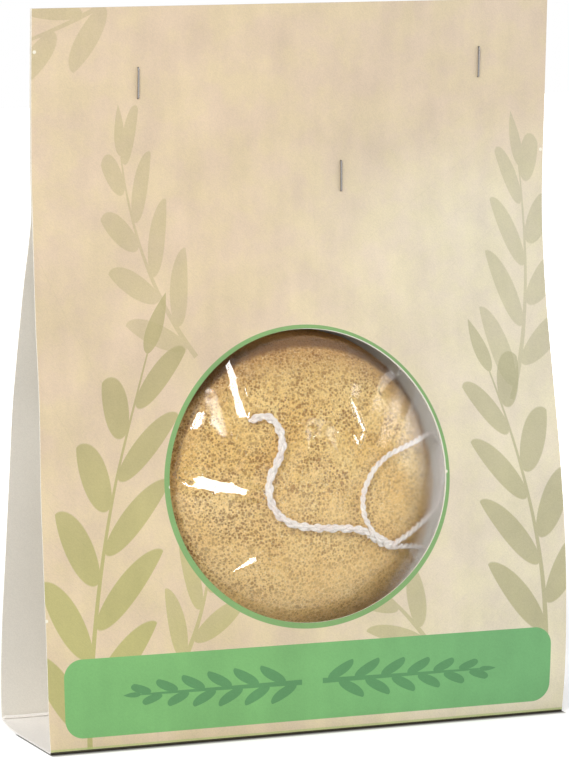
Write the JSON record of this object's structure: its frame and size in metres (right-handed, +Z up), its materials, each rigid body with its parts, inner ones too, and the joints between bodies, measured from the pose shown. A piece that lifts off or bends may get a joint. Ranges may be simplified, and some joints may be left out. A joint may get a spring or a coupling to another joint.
{
  "type": "cleansing sponge in display card",
  "caption": "Half-ball facial cleansing sponge with a cotton hanging loop, in a clear film pouch stapled into a folded tent card with a round window.",
  "frame": {"origin": "on the supporting surface, under the middle of the stand's overall depth and of the card's width", "axes": "+Z up along the card's height, +X along the card's width, the round window faces -Y"},
  "size_m": [0.15, 0.0472, 0.1985],
  "materials": {
    "printed_card": "semi-gloss coated board printed beige, with a green ring, a green band and olive leaf sprigs",
    "plain_card": "matt uncoated inner side of the board",
    "back_card": "matt uncoated inner side, beige coated outer side",
    "staple_wire": "bright galvanised wire",
    "clear_film": "clear glossy film with pleats",
    "sponge_body": "matt porous plant-fibre sponge, ochre",
    "cotton_cord": "twisted undyed cotton"
  },
  "bodies": {
    "base": {"base_panel": "plain_card"},
    "front": {"front_panel": "printed_card", "staple_left": "staple_wire", "staple_right": "staple_wire", "staple_centre": "staple_wire", "pouch_header": "clear_film"},
    "back": {"back_panel": "back_card"},
    "pouch": {"pouch_front_film": "clear_film", "pouch_back_film": "clear_film", "sponge": "sponge_body", "cord_stem": "cotton_cord", "cord_knot": "cotton_cord", "cord_loop": "cotton_cord", "cord_tail": "cotton_cord"}
  },
  "joints": [
    {"name": "front_crease", "type": "hinge", "parent": "base", "child": "front", "pos_m": [0, -0.02027, 0.00022], "axis": [1, 0, 0], "range_deg": [0, 86]},
    {"name": "back_crease", "type": "hinge", "parent": "base", "child": "back", "pos_m": [0, 0.0229, 0.00183], "axis": [-1, 0, 0], "range_deg": [0, 92]},
    {"name": "pouch_swing", "type": "hinge", "parent": "front", "child": "pouch", "pos_m": [0.001, -0.00887, 0.1435], "axis": [1, 0, 0], "range_deg": [-1.5, 1.8]}
  ]
}
